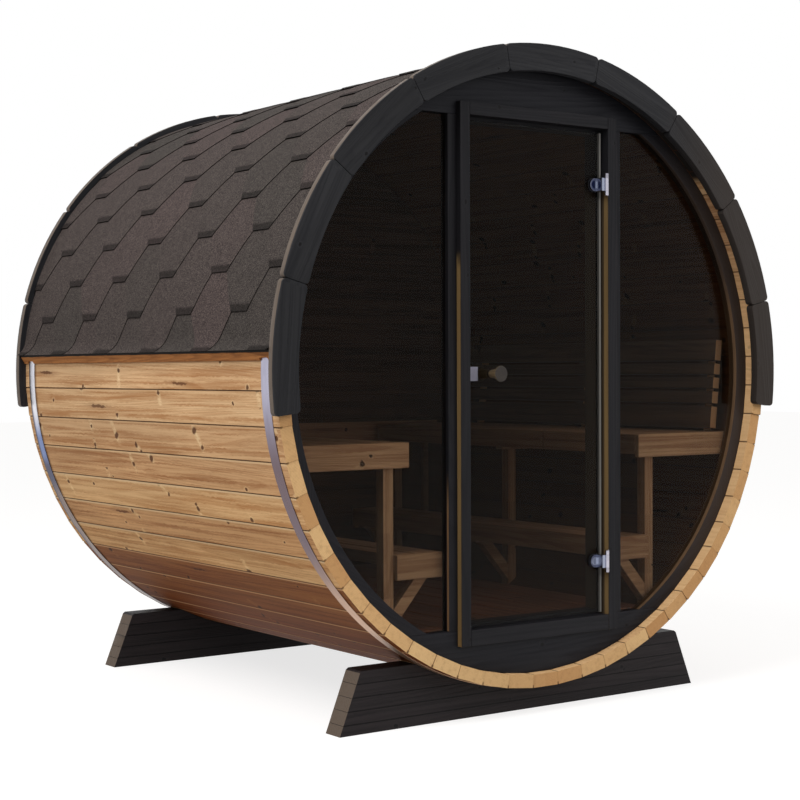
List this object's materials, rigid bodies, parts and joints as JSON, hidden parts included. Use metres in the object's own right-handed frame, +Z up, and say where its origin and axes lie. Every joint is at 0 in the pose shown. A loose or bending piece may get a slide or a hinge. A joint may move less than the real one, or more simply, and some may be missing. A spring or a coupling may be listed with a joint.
{
  "type": "barrel sauna",
  "caption": "Round timber sauna cabin lying on two cradles, with steel hoops, a shingled top, a glazed front wall with a hinged glass door, and benches along both sides inside.",
  "frame": {"origin": "on the ground under the middle of the barrel, at the bottom centre of the bounding box", "axes": "+Z up, +X to the right seen from the front, +Y from the glazed front to the rear"},
  "size_m": [2.093, 1.813, 2.1301],
  "materials": {
    "pine_staves": "clear-oiled pine",
    "hoop_steel": "polished",
    "shingles": "mineral granules on bitumen felt",
    "eave_wood": "sawn",
    "black_trim": "black stain, satin",
    "black_wall": "black stain, satin",
    "black_frame": "black stain, satin",
    "tinted_glass": "bronze tint, polished",
    "turned_wood": "turned",
    "catch_metal": "satin",
    "hinge_chrome": "polished",
    "black_cradle": "black stain",
    "floor_wood": "planed",
    "bench_wood": "planed alder"
  },
  "bodies": {
    "cabin": {"arch_trim_front": "black_trim", "arch_trim_rear": "black_trim", "backrest_left": "bench_wood", "backrest_right": "bench_wood", "bench_boards_left": "bench_wood", "bench_boards_right": "bench_wood", "bench_fascias_left": "bench_wood", "bench_fascias_right": "bench_wood", "bench_frame_left": "bench_wood", "bench_frame_right": "bench_wood", "cradle_front": "black_cradle", "cradle_rear": "black_cradle", "cross_rail": "bench_wood", "door_frame_head": "black_frame", "door_frame_left": "black_frame", "door_frame_right": "black_frame", "door_frame_sill": "black_frame", "eave_batten_left": "eave_wood", "eave_batten_right": "eave_wood", "floor_bearers": "floor_wood", "floor_boards": "floor_wood", "front_wall_curve_left": "black_wall", "front_wall_curve_right": "black_wall", "front_wall_lower": "black_wall", "front_wall_post_left": "black_wall", "front_wall_post_right": "black_wall", "front_wall_upper": "black_wall", "hinge_knuckles": "hinge_chrome", "hoop_front": "hoop_steel", "hoop_rear": "hoop_steel", "rear_wall": "black_wall", "roof_left": "shingles", "roof_right": "shingles", "staves_bottom": "pine_staves", "staves_crown": "pine_staves", "staves_lower_left": "pine_staves", "staves_lower_right": "pine_staves", "staves_upper_left": "pine_staves", "staves_upper_right": "pine_staves", "window_glass_left": "tinted_glass", "window_glass_right": "tinted_glass"},
    "door": {"door_catch": "catch_metal", "door_glass": "tinted_glass", "door_knobs": "turned_wood", "hinge_clamps": "hinge_chrome"}
  },
  "joints": [
    {"name": "door_hinge", "type": "hinge", "parent": "cabin", "child": "door", "pos_m": [0.273, -0.8675, 1.0933], "axis": [0, 0, 1], "range_deg": [0, 100]}
  ]
}
